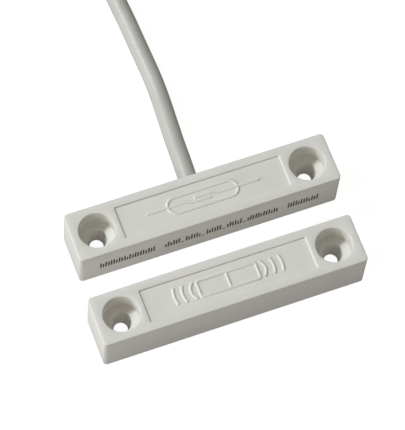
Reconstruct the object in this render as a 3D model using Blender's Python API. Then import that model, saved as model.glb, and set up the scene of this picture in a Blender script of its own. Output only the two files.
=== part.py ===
"""Surface-mounted magnetic door contact: a wired reed switch block and its magnet block, lying side by side.

The blocks lie on z = 0 on the faces that screw to the frame and the door. +X runs along both blocks, +Y from
the magnet block to the switch block. The origin is the centre of the two blocks' footprint. Lengths are in
metres.
"""

import math

import bmesh
import bpy
from mathutils import Vector
from mathutils.geometry import interpolate_bezier

# Both blocks
BLOCK_LENGTH = 0.0544
BLOCK_WIDTH = 0.0104
BLOCK_HEIGHT = 0.0104
CORNER_RADIUS = 0.0008
TOP_EDGE = 0.0002
SCREW_SPACING = 0.0439
HEAD_RADIUS = 0.00365
HEAD_DEPTH = 0.0039
SEAT_DEPTH = 0.0004
MOUTH_RADIUS = 0.0021
THROAT_RADIUS = 0.0014
THROAT_HEIGHT = 0.0023
RELIEF_RADIUS = 0.0025
RELIEF_HEIGHT = 0.0020
PANEL_LENGTH = 0.0345
PANEL_WIDTH = 0.0069
PANEL_DEPTH = 0.0003
CAVITY_LENGTH = 0.0336
CAVITY_WIDTH = 0.0078
CAVITY_HEIGHT = 0.0086
RIM = 0.0002
FIT_GAP = 0.00015
PANEL_CORNER = 0.0002
CAVITY_CORNER = 0.0006
POTTING_CORNER = 0.0005
CUT_OVER = 0.001

# Where the blocks lie
BLOCK_GAP = 0.00765
END_SHIFT = 0.0007
SWITCH_AT = Vector((END_SHIFT, (BLOCK_GAP + BLOCK_WIDTH) / 2, 0))
MAGNET_AT = Vector((-END_SHIFT, -(BLOCK_GAP + BLOCK_WIDTH) / 2, 0))

# Inside the switch block, from the middle of its footprint
POTTING_TOP = 0.0018
BOARD_SIZE = (0.0320, 0.0070, 0.0008)
BOARD_BOTTOM = 0.0021
BOARD_TOP = BOARD_BOTTOM + BOARD_SIZE[2]
BOARD_CORNER = 0.0004
REED_AT = Vector((0, -0.0024, 0.0063))
GLASS_LENGTH = 0.0150
GLASS_RADIUS = 0.0011
GLASS_WALL = 0.00025
SEAL_LENGTH = 0.0009
LEAD_RADIUS = 0.00025
LEAD_GAP = 0.00006
LEAD_REACH = 0.0125
LEAD_BEND = 0.0009
WIRE_GAP = 0.0001
BLADE_WIDTH = 0.0010
BLADE_THICKNESS = 0.00024
BLADE_HINGE = 0.0063
BLADE_OVERLAP = 0.0005
CONTACT_GAP = 0.00006
SOLDER_RADIUS = 0.0007
SOLDER_HEIGHT = 0.0009
SOLDER_GAP = 0.00005
LINK_RADIUS = 0.0003
LINK_SPAN = 0.0035
LINK_RISE = 0.0011
LINK_AT = Vector((-0.0125, 0.0022, BOARD_TOP + SOLDER_GAP))

# Inside the magnet block
MAGNET_SIZE = (0.0240, 0.0050, 0.0050)
MAGNET_BOTTOM = 0.0033
MAGNET_CHAMFER = 0.0003
MAGNET_POTTING_TOP = 0.0030

# Cable
CABLE_RADIUS = 0.00195
CABLE_HOLE_RADIUS = 0.00210
CABLE_EXIT = Vector((-0.0005, BLOCK_WIDTH / 2, 0.0052))
CABLE_SPACING = 0.0043
SHEATH_END_Y = 0.0013
CORE_RADIUS = 0.0005
CORE_SPREAD = 0.00062
CORE_START_GAP = 0.00015
CORE_REACH = {1: 0.0082, -1: 0.0038}
CORE_TURN = {1: 0.0012, -1: 0.0009}
TIP_RADIUS = 0.00025
TIP_LENGTH = 0.0050
CORES = {
    "red": (1, 1),
    "black": (-1, 1),
    "yellow": (1, -1),
    "blue": (-1, -1),
}

# Coil of spare cable behind the switch block
COIL_AT = Vector((0.0265, 0.0860, 0))
COIL_MIDDLE_RADIUS = 0.0200
COIL_COLUMNS = 4
COIL_LAYERS = 4
COIL_LIFT = 0.0008
COIL_GAP = 0.0003
COIL_HALF_WIDTH = COIL_COLUMNS * CABLE_RADIUS
COIL_HEIGHT = COIL_LAYERS * 2 * CABLE_RADIUS
TIE_WIDTH = 0.0040
TIE_THICKNESS = 0.0005
TIES = {"near": (255, False), "far": (75, True)}

# The cable's end: part of the coil's last turn, in a step at the coil's outer top edge
TAIL_RADIUS = COIL_MIDDLE_RADIUS + COIL_HALF_WIDTH - CABLE_RADIUS
TAIL_HEIGHT = COIL_LIFT + COIL_HEIGHT - CABLE_RADIUS
TAIL_ANGLES = (math.radians(176), math.radians(40))
TAIL_GAP = 0.00005
STEP_RADIUS = TAIL_RADIUS - CABLE_RADIUS - TAIL_GAP
STEP_HEIGHT = TAIL_HEIGHT - CABLE_RADIUS - TAIL_GAP

# The stripped cores on that step: (way along, share moved aside, share fallen), upper and lower pair
TAIL_CORE_LENGTH = 0.0140
TAIL_CORE_REST = {1: 0.0016, -1: 0.00053}
TAIL_CORE_SHIFT = 0.00025
TAIL_CORE_WAY = {
    1: [(0, 0, 0), (0.0015, 0.12, 0.05), (0.0035, 0.6, 0.35), (0.0055, 0.95, 0.75), (0.0080, 1, 1)],
    -1: [(0, 0, 0), (0.0015, 0.3, 0.25), (0.0035, 0.9, 0.8), (0.0055, 1, 1), (0.0080, 1, 1)],
}

# The cable's middle line, from the switch block to the coil, in world metres
LEAD_ROUTE = [
    Vector((0.0002, 0.0104, 0.0052)),
    Vector((0.0002, 0.0145, 0.0052)),
    Vector((0.0005, 0.0200, 0.0048)),
    Vector((0.0008, 0.0248, 0.0041)),
    Vector((0.0012, 0.0297, 0.0034)),
    Vector((0.0016, 0.0346, 0.0027)),
    Vector((0.0018, 0.0395, 0.0023)),
    Vector((0.0017, 0.0445, 0.0020)),
    Vector((0.0015, 0.0493, 0.00196)),
    Vector((0.0013, 0.0543, 0.00195)),
    Vector((0.0010, 0.0590, 0.00195)),
    Vector((0.0007, 0.0650, 0.00195)),
    Vector((0.0006, 0.0709, 0.00195)),
]


def clear_scene():
    for obj in list(bpy.data.objects):
        bpy.data.objects.remove(obj, do_unlink=True)


def material(name, color, roughness, metallic=0.0):
    mat = bpy.data.materials.new(name)
    mat.use_nodes = True
    shader = mat.node_tree.nodes["Principled BSDF"]
    shader.inputs["Base Color"].default_value = (*color, 1)
    shader.inputs["Roughness"].default_value = roughness
    shader.inputs["Metallic"].default_value = metallic
    return mat


def add_object(name, bm, mat=None, at=(0, 0, 0), parent=None):
    bmesh.ops.recalc_face_normals(bm, faces=bm.faces)
    mesh = bpy.data.meshes.new(name)
    bm.to_mesh(mesh)
    bm.free()
    obj = bpy.data.objects.new(name, mesh)
    bpy.context.scene.collection.objects.link(obj)
    obj.location = at
    obj.parent = parent
    if mat:
        mesh.materials.append(mat)
    return obj


def add_empty(name, at):
    empty = bpy.data.objects.new(name, None)
    bpy.context.scene.collection.objects.link(empty)
    empty.location = at
    return empty


def cutter(name, bm, at=(0, 0, 0), parent=None):
    obj = add_object(name, bm, at=at, parent=parent)
    obj.hide_render = True
    obj.display_type = "WIRE"
    return obj


def cut(obj, tool):
    step = obj.modifiers.new(tool.name, "BOOLEAN")
    step.object = tool
    step.solver = "EXACT"


def smooth(obj):
    obj.data.shade_smooth()
    obj.data.set_sharp_from_angle(angle=math.radians(35))


def box(bm, size, middle):
    for vert in bmesh.ops.create_cube(bm, size=1)["verts"]:
        vert.co = Vector(c * s for c, s in zip(vert.co, size)) + Vector(middle)


def rounded_outline(length, width, radius, steps):
    points = []
    for quarter in range(4):
        side_x = 1 if quarter in (0, 3) else -1
        side_y = 1 if quarter < 2 else -1
        middle = Vector((side_x * (length / 2 - radius), side_y * (width / 2 - radius)))
        for step in range(steps + 1):
            angle = math.radians(90) * (quarter + step / steps)
            points.append(middle + radius * Vector((math.cos(angle), math.sin(angle))))
    return points


def stack(bm, layers):
    """A closed solid through outlines of equal length: layers holds (outline, height), bottom first."""
    rings = [[bm.verts.new((p.x, p.y, height)) for p in outline] for outline, height in layers]
    for low, high in zip(rings, rings[1:]):
        for index in range(len(low)):
            after = (index + 1) % len(low)
            bm.faces.new((low[index], low[after], high[after], high[index]))
    bm.faces.new(reversed(rings[0]))
    bm.faces.new(rings[-1])


def rounded_block(bm, length, width, bottom, top, radius, steps=5, edge=0.0):
    full = rounded_outline(length, width, radius, steps)
    layers = [(full, bottom), (full, top - edge)]
    if edge:
        layers.append((rounded_outline(length - 2 * edge, width - 2 * edge, radius - edge, steps), top))
    stack(bm, layers)


def turned(bm, profile, steps):
    """A closed solid of revolution about Z: profile holds (radius, height) points, bottom first."""
    circle = [Vector((math.cos(a), math.sin(a))) for a in (math.tau * s / steps for s in range(steps))]
    stack(bm, [([radius * p for p in circle], height) for radius, height in profile])


def ring(bm, profile, steps):
    """A closed ring about Z: profile is a closed loop of (radius, height) points."""
    sections = []
    for step in range(steps):
        angle = math.tau * step / steps
        sections.append([bm.verts.new((r * math.cos(angle), r * math.sin(angle), z)) for r, z in profile])
    for step in range(steps):
        here, there = sections[step], sections[(step + 1) % steps]
        for index in range(len(profile)):
            after = (index + 1) % len(profile)
            bm.faces.new((here[index], here[after], there[after], there[index]))


def smooth_route(route, spacing):
    """Evenly spaced points on a smooth curve through the route's own points."""
    fine = []
    for index in range(len(route) - 1):
        here, there = route[index], route[index + 1]
        before = route[max(index - 1, 0)]
        beyond = route[min(index + 2, len(route) - 1)]
        fine += interpolate_bezier(here, here + (there - before) / 6, there - (beyond - here) / 6, there, 24)
    length = sum((b - a).length for a, b in zip(fine, fine[1:]))
    count = max(2, round(length / spacing))
    points, walked, target = [fine[0]], 0.0, length / count
    for a, b in zip(fine, fine[1:]):
        step = (b - a).length
        while step and walked + step >= target and len(points) < count:
            points.append(a.lerp(b, (target - walked) / step))
            target += length / count
        walked += step
    return points + [fine[-1]]


def tube(name, points, radius, mat, sides=2, at=(0, 0, 0), parent=None):
    curve = bpy.data.curves.new(name, "CURVE")
    curve.dimensions = "3D"
    curve.bevel_depth = radius
    curve.bevel_resolution = sides
    curve.use_fill_caps = True
    spline = curve.splines.new("POLY")
    spline.points.add(len(points) - 1)
    for target, point in zip(spline.points, points):
        target.co = (*point, 1)
    curve.materials.append(mat)
    obj = bpy.data.objects.new(name, curve)
    bpy.context.scene.collection.objects.link(obj)
    obj.location = at
    obj.parent = parent
    return obj


# Both housings


def screw_hole_cutter(name, side, parent):
    """A seat for the screw head, a bore that narrows to its throat, and a wider relief below."""
    bm = bmesh.new()
    seat_top = BLOCK_HEIGHT - HEAD_DEPTH
    profile = [
        (RELIEF_RADIUS, -CUT_OVER),
        (RELIEF_RADIUS, RELIEF_HEIGHT),
        (THROAT_RADIUS, THROAT_HEIGHT),
        (MOUTH_RADIUS, seat_top - SEAT_DEPTH),
        (HEAD_RADIUS, seat_top),
        (HEAD_RADIUS, BLOCK_HEIGHT + CUT_OVER),
    ]
    turned(bm, profile, 40)
    return cutter(name, bm, (side * SCREW_SPACING / 2, 0, 0), parent)


def panel_cutter(name, parent):
    bm = bmesh.new()
    bottom, top = BLOCK_HEIGHT - PANEL_DEPTH, BLOCK_HEIGHT + CUT_OVER
    rounded_block(bm, PANEL_LENGTH, PANEL_WIDTH, bottom, top, PANEL_CORNER, steps=2)
    return cutter(name, bm, parent=parent)


def cavity_cutter(name, parent):
    bm = bmesh.new()
    rounded_block(bm, CAVITY_LENGTH, CAVITY_WIDTH, -CUT_OVER, CAVITY_HEIGHT, CAVITY_CORNER, steps=3)
    return cutter(name, bm, parent=parent)


def housing(name, mat, parent):
    bm = bmesh.new()
    rounded_block(bm, BLOCK_LENGTH, BLOCK_WIDTH, 0, BLOCK_HEIGHT, CORNER_RADIUS, edge=TOP_EDGE)
    obj = add_object(name, bm, mat, parent=parent)
    cut(obj, cavity_cutter(name + "_cavity", parent))
    cut(obj, panel_cutter(name + "_panel", parent))
    for side in (-1, 1):
        cut(obj, screw_hole_cutter(f"{name}_screw_hole_{side}", side, parent))
    smooth(obj)
    return obj


def potting(name, top, mat, parent):
    """The hardened filling that closes the housing's open side, just below its rim."""
    bm = bmesh.new()
    length, width = CAVITY_LENGTH - 2 * FIT_GAP, CAVITY_WIDTH - 2 * FIT_GAP
    rounded_block(bm, length, width, RIM, top, POTTING_CORNER, steps=3)
    add_object(name, bm, mat, parent=parent)


# The switch block's inside


def switch_housing(mat, parent):
    obj = housing("switch_housing", mat, parent)
    bm = bmesh.new()
    bmesh.ops.create_cone(
        bm, cap_ends=True, segments=32, radius1=CABLE_HOLE_RADIUS, radius2=CABLE_HOLE_RADIUS, depth=0.004
    )
    bmesh.ops.rotate(bm, verts=bm.verts, matrix=Vector((0, 0, 1)).rotation_difference((0, 1, 0)).to_matrix())
    cut(obj, cutter("cable_hole", bm, CABLE_EXIT, parent))


def circuit_board(mat, parent):
    bm = bmesh.new()
    rounded_block(bm, BOARD_SIZE[0], BOARD_SIZE[1], BOARD_BOTTOM, BOARD_TOP, BOARD_CORNER, steps=2)
    add_object("circuit_board", bm, mat, parent=parent)


def reed_glass(mat, parent):
    """A glass tube along X whose ends close onto the leads."""
    half = GLASS_LENGTH / 2
    neck = LEAD_RADIUS + LEAD_GAP
    bore = GLASS_RADIUS - GLASS_WALL
    profile = [
        (neck, -half),
        (GLASS_RADIUS * 0.6, -half),
        (GLASS_RADIUS, -half + SEAL_LENGTH),
        (GLASS_RADIUS, half - SEAL_LENGTH),
        (GLASS_RADIUS * 0.6, half),
        (neck, half),
        (neck, half - SEAL_LENGTH),
        (bore, half - SEAL_LENGTH),
        (bore, -half + SEAL_LENGTH),
        (neck, -half + SEAL_LENGTH),
    ]
    bm = bmesh.new()
    ring(bm, profile, 20)
    bmesh.ops.rotate(bm, verts=bm.verts, matrix=Vector((0, 0, 1)).rotation_difference((1, 0, 0)).to_matrix())
    smooth(add_object("reed_glass", bm, mat, REED_AT, parent))


def reed_lead(side, name, mat, parent):
    """The wire from inside the glass seal, out along X and down to the board."""
    floor = BOARD_TOP + WIRE_GAP - REED_AT.z
    route = [Vector((side * (BLADE_HINGE + WIRE_GAP), 0, 0)), Vector((side * (LEAD_REACH - LEAD_BEND), 0, 0))]
    for step in range(1, 5):
        angle = math.radians(90) * step / 4
        over = LEAD_REACH - LEAD_BEND + LEAD_BEND * math.sin(angle)
        route.append(Vector((side * over, 0, -LEAD_BEND + LEAD_BEND * math.cos(angle))))
    route.append(Vector((side * LEAD_REACH, 0, floor + SOLDER_HEIGHT)))
    tube(name, route, LEAD_RADIUS, mat, at=REED_AT, parent=parent)


def reed_paddle(side, name, mat, parent):
    """A flat blade that bends at the seal. Its origin is on that bending line."""
    start = side * BLADE_HINGE
    end = -side * BLADE_OVERLAP
    aside = -side * (CONTACT_GAP + BLADE_THICKNESS) / 2
    bm = bmesh.new()
    box(bm, (abs(end - start), BLADE_THICKNESS, BLADE_WIDTH), ((end - start) / 2, aside, 0))
    add_object(name, bm, mat, REED_AT + Vector((start, 0, 0)), parent)


def solder_joint(name, x, y, mat, parent, hole=0.0):
    """A domed joint on the board. With a hole, the wire stands in it."""
    rise = [(SOLDER_RADIUS * r, SOLDER_HEIGHT * z) for r, z in ((1.0, 0.0), (0.92, 0.3), (0.7, 0.65))]
    bm = bmesh.new()
    if hole:
        ring(bm, [(hole, 0.0), *rise, (hole, rise[-1][1])], 16)
    else:
        turned(bm, [*rise, (SOLDER_RADIUS * 0.4, SOLDER_HEIGHT * 0.9)], 16)
    smooth(add_object(name, bm, mat, (x, y, BOARD_TOP + SOLDER_GAP), parent))


def core_route(side_x, side_z):
    """An insulated core's way from the sheath's end to its joint on the board."""
    reach = CORE_REACH[side_z]
    start = Vector((CABLE_EXIT.x + side_x * CORE_SPREAD, SHEATH_END_Y - CORE_START_GAP, CABLE_EXIT.z))
    start.z += side_z * CORE_SPREAD
    rest = BOARD_TOP + CORE_RADIUS + WIRE_GAP
    turn_y = start.y - CORE_TURN[side_z]
    middle = Vector((CABLE_EXIT.x + side_x * reach * 0.38, turn_y, (start.z + rest) / 2 + 0.0002))
    end = Vector((CABLE_EXIT.x + side_x * reach, start.y - 0.0008, rest))
    before_end = end - Vector((side_x * 0.0012, 0, -0.0001))
    return [start, start.lerp(middle, 0.35) + Vector((0, -0.0004, side_z * 0.0002)), middle, before_end, end]


def core_and_joint(colour, sides, mat, solder, parent):
    route = core_route(*sides)
    tube("core_" + colour, smooth_route(route, 0.0008), CORE_RADIUS, mat, parent=parent)
    end = route[-1]
    joint_x = end.x + sides[0] * (SOLDER_RADIUS + 0.00012)
    solder_joint("solder_" + colour, joint_x, end.y, solder, parent)


def tamper_link(mat, parent):
    half = LINK_SPAN / 2
    route = [
        LINK_AT + Vector((-half, 0, 0)),
        LINK_AT + Vector((-half, 0, LINK_RISE)),
        LINK_AT + Vector((half, 0, LINK_RISE)),
        LINK_AT + Vector((half, 0, 0)),
    ]
    tube("tamper_link", route, LINK_RADIUS, mat, parent=parent)


# The magnet block's inside


def bar_magnet(mat, parent):
    bm = bmesh.new()
    box(bm, MAGNET_SIZE, (0, 0, MAGNET_BOTTOM + MAGNET_SIZE[2] / 2))
    obj = add_object("bar_magnet", bm, mat, parent=parent)
    edge = obj.modifiers.new("chamfer", "BEVEL")
    edge.width = MAGNET_CHAMFER
    edge.segments = 1


# The cable


def cable_lead(mat):
    tube("cable_lead", smooth_route(LEAD_ROUTE, CABLE_SPACING), CABLE_RADIUS, mat)


def cable_coil(mat):
    """The turns as one ring, with a step in its outer top edge for the last turn."""
    half = COIL_HALF_WIDTH
    soft = CABLE_RADIUS * 0.8
    inner, outer = COIL_MIDDLE_RADIUS - half, COIL_MIDDLE_RADIUS + half
    low, high = COIL_LIFT, COIL_LIFT + COIL_HEIGHT
    profile = [
        (inner + soft, low),
        (outer - soft, low),
        (outer, low + soft),
        (outer, STEP_HEIGHT - soft),
        (outer - soft, STEP_HEIGHT),
        (STEP_RADIUS, STEP_HEIGHT),
        (STEP_RADIUS, high - soft),
        (STEP_RADIUS - soft, high),
        (inner + soft, high),
        (inner, high - soft),
        (inner, low + soft),
    ]
    bm = bmesh.new()
    ring(bm, profile, 48)
    add_object("cable_coil", bm, mat, COIL_AT)


def taut_outline(corners, radius, steps):
    """A band pulled tight round equal circles, whose middles are given anticlockwise."""
    points = []
    for index, corner in enumerate(corners):
        arrive = corner - corners[index - 1]
        leave = corners[(index + 1) % len(corners)] - corner
        start = math.atan2(-arrive.x, arrive.y)
        sweep = (math.atan2(-leave.x, leave.y) - start) % math.tau
        for step in range(steps + 1):
            angle = start + sweep * step / steps
            points.append(corner + radius * Vector((math.cos(angle), math.sin(angle))))
    return points


def coil_tie(name, degrees, with_tail, mat):
    """A band round the coil's section. It slants over the step where the last turn is missing."""
    half = COIL_HALF_WIDTH - CABLE_RADIUS
    step = half - 2 * CABLE_RADIUS
    top_corner = [(half, half)] if with_tail else [(half, step), (step, half)]
    corners = [Vector(p) for p in [(half, -half), *top_corner, (-half, half), (-half, -half)]]
    inner = taut_outline(corners, CABLE_RADIUS + COIL_GAP, 3)
    outer = taut_outline(corners, CABLE_RADIUS + COIL_GAP + TIE_THICKNESS, 3)
    middle_height = COIL_LIFT + COIL_HEIGHT / 2
    bm = bmesh.new()
    loops = []
    for y in (-TIE_WIDTH / 2, TIE_WIDTH / 2):
        for outline in (outer, inner):
            loops.append([bm.verts.new((p.x, y, p.y + middle_height)) for p in outline])
    for low, high in ((0, 1), (2, 3), (0, 2), (1, 3)):
        for index in range(len(outer)):
            after = (index + 1) % len(outer)
            bm.faces.new((loops[low][index], loops[low][after], loops[high][after], loops[high][index]))
    angle = math.radians(degrees)
    at = COIL_AT + COIL_MIDDLE_RADIUS * Vector((math.cos(angle), math.sin(angle), 0))
    add_object(name, bm, mat, at).rotation_euler.z = angle


def on_coil(radius, angle, height):
    return COIL_AT + Vector((radius * math.cos(angle), radius * math.sin(angle), height))


def cable_tail(mat):
    start, end = TAIL_ANGLES
    count = round((start - end) * TAIL_RADIUS / CABLE_SPACING)
    turns = [start + (end - start) * step / count for step in range(count + 1)]
    tube("cable_tail", [on_coil(TAIL_RADIUS, a, TAIL_HEIGHT) for a in turns], CABLE_RADIUS, mat)


def tail_cores(mats, copper):
    """The stripped end: four insulated cores that lie down side by side, each with a bare tip."""

    def along(way, offset, height):
        return on_coil(TAIL_RADIUS + offset, TAIL_ANGLES[1] - way / TAIL_RADIUS, height)

    rest_height = STEP_HEIGHT + CORE_RADIUS + TAIL_GAP
    for colour, (side, up) in CORES.items():
        start_height = TAIL_HEIGHT + up * CORE_SPREAD
        rest = TAIL_CORE_SHIFT + side * TAIL_CORE_REST[up]
        route = []
        for way, aside, fallen in TAIL_CORE_WAY[up]:
            offset = side * CORE_SPREAD * (1 - aside) + rest * aside
            height = start_height * (1 - fallen) + rest_height * fallen
            route.append(along(CORE_START_GAP + way, offset, height))
        route.append(along((TAIL_CORE_WAY[up][-1][0] + TAIL_CORE_LENGTH) / 2, rest, rest_height))
        route.append(along(TAIL_CORE_LENGTH, rest, rest_height))
        tube("tail_core_" + colour, smooth_route(route, 0.0012), CORE_RADIUS, mats[colour])
        tip = [TAIL_CORE_LENGTH + WIRE_GAP + TIP_LENGTH * step / 4 for step in range(5)]
        tube("tail_tip_" + colour, [along(way, rest, rest_height) for way in tip], TIP_RADIUS, copper)


def main():
    clear_scene()
    shell = material("moulded_plastic", (0.62, 0.62, 0.58), 0.5)
    resin = material("sealing_resin", (0.30, 0.30, 0.29), 0.35)
    board = material("glass_fibre_board", (0.05, 0.16, 0.07), 0.5)
    glass = material("reed_glass", (0.35, 0.55, 0.42), 0.05)
    nickel_iron = material("nickel_iron", (0.62, 0.60, 0.55), 0.3, 1.0)
    solder = material("solder", (0.66, 0.66, 0.68), 0.25, 1.0)
    copper = material("tinned_copper", (0.75, 0.62, 0.52), 0.3, 1.0)
    ferrite = material("ferrite", (0.05, 0.05, 0.055), 0.6)
    sheath = material("cable_sheath", (0.52, 0.50, 0.46), 0.45)
    band = material("tie_plastic", (0.70, 0.70, 0.68), 0.4)
    cores = {
        "red": material("core_red", (0.45, 0.03, 0.02), 0.4),
        "black": material("core_black", (0.02, 0.02, 0.02), 0.4),
        "yellow": material("core_yellow", (0.60, 0.42, 0.03), 0.4),
        "blue": material("core_blue", (0.03, 0.10, 0.40), 0.4),
    }

    switch = add_empty("switch_block", SWITCH_AT)
    switch_housing(shell, switch)
    potting("switch_potting", POTTING_TOP, resin, switch)
    circuit_board(board, switch)
    reed_glass(glass, switch)
    for side, word in ((-1, "left"), (1, "right")):
        reed_lead(side, "reed_lead_" + word, nickel_iron, switch)
        reed_paddle(side, "reed_paddle_" + word, nickel_iron, switch)
        joint_name, joint_x = "solder_reed_" + word, side * LEAD_REACH
        solder_joint(joint_name, joint_x, REED_AT.y, solder, switch, hole=LEAD_RADIUS + WIRE_GAP)
    for colour, sides in CORES.items():
        core_and_joint(colour, sides, cores[colour], solder, switch)
    tamper_link(copper, switch)

    magnet = add_empty("magnet_block", MAGNET_AT)
    housing("magnet_housing", shell, magnet)
    potting("magnet_potting", MAGNET_POTTING_TOP, resin, magnet)
    bar_magnet(ferrite, magnet)

    cable_lead(sheath)
    cable_coil(sheath)
    for word, (degrees, with_tail) in TIES.items():
        coil_tie("coil_tie_" + word, degrees, with_tail, band)
    cable_tail(sheath)
    tail_cores(cores, copper)


main()
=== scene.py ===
"""The looks of a surface-mounted magnetic door contact: a wired reed switch block beside its magnet block.

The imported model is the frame. +X runs along both blocks, +Y from the magnet block to the switch block and its
cable, +Z up out of the mounting surface. Lengths are in metres.
"""

import itertools
import math

import bmesh
import bpy
from mathutils import Matrix, Vector, noise
from mathutils.geometry import interpolate_bezier


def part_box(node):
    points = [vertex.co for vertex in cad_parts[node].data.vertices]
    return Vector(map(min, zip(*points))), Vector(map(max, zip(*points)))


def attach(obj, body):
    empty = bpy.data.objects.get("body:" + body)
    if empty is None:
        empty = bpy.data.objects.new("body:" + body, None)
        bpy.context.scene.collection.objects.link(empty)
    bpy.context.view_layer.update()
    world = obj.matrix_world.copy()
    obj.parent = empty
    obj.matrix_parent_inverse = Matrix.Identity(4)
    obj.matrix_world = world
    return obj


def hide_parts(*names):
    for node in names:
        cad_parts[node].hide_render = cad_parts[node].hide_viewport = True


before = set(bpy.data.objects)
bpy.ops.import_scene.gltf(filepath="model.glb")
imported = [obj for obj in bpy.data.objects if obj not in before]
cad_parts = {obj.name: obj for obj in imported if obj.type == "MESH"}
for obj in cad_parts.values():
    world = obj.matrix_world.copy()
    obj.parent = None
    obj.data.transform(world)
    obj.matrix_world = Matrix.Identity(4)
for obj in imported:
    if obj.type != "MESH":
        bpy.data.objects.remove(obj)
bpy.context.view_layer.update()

MM = 0.001

# Both blocks, as the frame gives them
CORNER_RADIUS = 0.8 * MM
TOP_EDGE = 0.2 * MM
BOTTOM_EDGE = 0.12 * MM
SCREW_SPACING = 43.9 * MM
HEAD_RADIUS = 3.65 * MM
HEAD_DEPTH = 3.9 * MM
SEAT_DEPTH = 0.4 * MM
MOUTH_RADIUS = 2.1 * MM
THROAT_RADIUS = 1.4 * MM
THROAT_HEIGHT = 2.3 * MM
RELIEF_RADIUS = 2.5 * MM
RELIEF_HEIGHT = 2.0 * MM
HOLE_LIP = 0.12 * MM
HOLE_SOFT = 0.1 * MM
PANEL_LENGTH = 34.5 * MM
PANEL_WIDTH = 6.9 * MM
PANEL_DEPTH = 0.3 * MM
PANEL_CORNER = 0.25 * MM
PANEL_LIP = 0.06 * MM
PANEL_DRAFT = 0.05 * MM
PANEL_FOOT = 0.08 * MM
CAVITY_LENGTH = 33.6 * MM
CAVITY_WIDTH = 7.8 * MM
CAVITY_HEIGHT = 8.6 * MM
CAVITY_CORNER = 0.6 * MM
CAVITY_ROOF = 0.2 * MM

# Raised sign on each panel
SIGN_STROKE = 0.72 * MM
SIGN_RISE = 0.2 * MM
SIGN_LENGTH = 23.5 * MM
SIGN_HEIGHT = 3.4 * MM

# Ink-jet bars of dots on the switch block's front side: the dots in each bar, and the marks in each group
DOT_RADIUS = 0.19 * MM
DOT_THICKNESS = 0.02 * MM
DOT_PITCH = 0.32 * MM
BAR_DOTS = (7, 5, 7, 6, 7, 7, 5, 7, 6, 7, 4)
BAR_PITCH = 0.54 * MM
BARS_IN_MARK = 3
MARK_PITCH = 1.66 * MM
MARK_GROUPS = (7, 2, 2, 2, 2, 4, 4)
MARK_START = -22.9 * MM
GROUP_SPACE = 1.0 * MM
WIDE_SPACE = 1.9 * MM

# Cable
CABLE_RADIUS = 1.95 * MM
CABLE_HOLE_RADIUS = 2.10 * MM
CORE_RADIUS = 0.5 * MM
TIP_RADIUS = 0.25 * MM
COIL_AT = Vector((26.5, 86.0, 0)) * MM
COIL_MIDDLE_RADIUS = 20 * MM
COIL_COLUMNS = 4
COIL_LAYERS = 4
COIL_LIFT = 0.8 * MM
TURN_STEP = 0.17

# The cable's end, in the step that the last turn leaves open
FULL_TURNS = 15
TAIL_RADIUS = COIL_MIDDLE_RADIUS + (COIL_COLUMNS - 1) * CABLE_RADIUS
TAIL_HEIGHT = COIL_LIFT + (2 * COIL_LAYERS - 1) * CABLE_RADIUS
TAIL_ANGLE = math.radians(40)
CORE_SPREAD = 0.62 * MM
CORE_LENGTH = 14 * MM
CORE_REST = {1: 1.6 * MM, -1: 0.53 * MM}
CORE_SHIFT = 0.25 * MM
TIP_LENGTH = 5 * MM
TIE_WIDTH = 3.6 * MM
TIE_THICKNESS = 0.45 * MM
TIE_SLACK = 0.06 * MM

# The stripped cores: (way along, share moved aside, share fallen), upper and lower pair
CORE_WAY = {
    1: [(0, 0, 0), (1.5, 0.12, 0.05), (3.5, 0.6, 0.35), (5.5, 0.95, 0.75), (8.0, 1, 1)],
    -1: [(0, 0, 0), (1.5, 0.3, 0.25), (3.5, 0.9, 0.8), (5.5, 1, 1), (8.0, 1, 1)],
}

# The cable's middle line from the switch block to the coil
LEAD_ROUTE = [
    Vector((0.0002, 0.0104, 0.0052)),
    Vector((0.0002, 0.0145, 0.0052)),
    Vector((0.0005, 0.0200, 0.0048)),
    Vector((0.0008, 0.0248, 0.0041)),
    Vector((0.0012, 0.0297, 0.0034)),
    Vector((0.0016, 0.0346, 0.0027)),
    Vector((0.0018, 0.0395, 0.0023)),
    Vector((0.0017, 0.0445, 0.0020)),
    Vector((0.0015, 0.0493, 0.00196)),
    Vector((0.0013, 0.0543, 0.00195)),
    Vector((0.0010, 0.0590, 0.00195)),
    Vector((0.0007, 0.0650, 0.00195)),
    Vector((0.0006, 0.0709, 0.00195)),
]

KEY_COLOUR = (0.877, 0.943, 1.0)
FILL_COLOUR = (1.0, 0.945, 0.85)
CORE_COLOURS = {
    "red": (0.42, 0.022, 0.018),
    "black": (0.016, 0.016, 0.017),
    "yellow": (0.62, 0.42, 0.03),
    "blue": (0.02, 0.08, 0.36),
}


def block_of(node):
    """(middle of the block's footprint, its length, width and height) from the frame."""
    low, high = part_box(node)
    size = high - low
    return Vector(((low.x + high.x) / 2, (low.y + high.y) / 2, low.z)), size.x, size.y, size.z


SWITCH_AT, BLOCK_LENGTH, BLOCK_WIDTH, BLOCK_HEIGHT = block_of("switch_housing")
MAGNET_AT = block_of("magnet_housing")[0]
CABLE_EXIT = Vector((LEAD_ROUTE[1].x, SWITCH_AT.y + BLOCK_WIDTH / 2, LEAD_ROUTE[1].z))


# Camera


def direction(azimuth, elevation):
    """The way to a camera or light. Azimuth 0 is in front of the blocks and 90 degrees is to their right."""
    level = math.cos(elevation)
    return Vector((math.sin(azimuth) * level, -math.cos(azimuth) * level, math.sin(elevation)))


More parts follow.
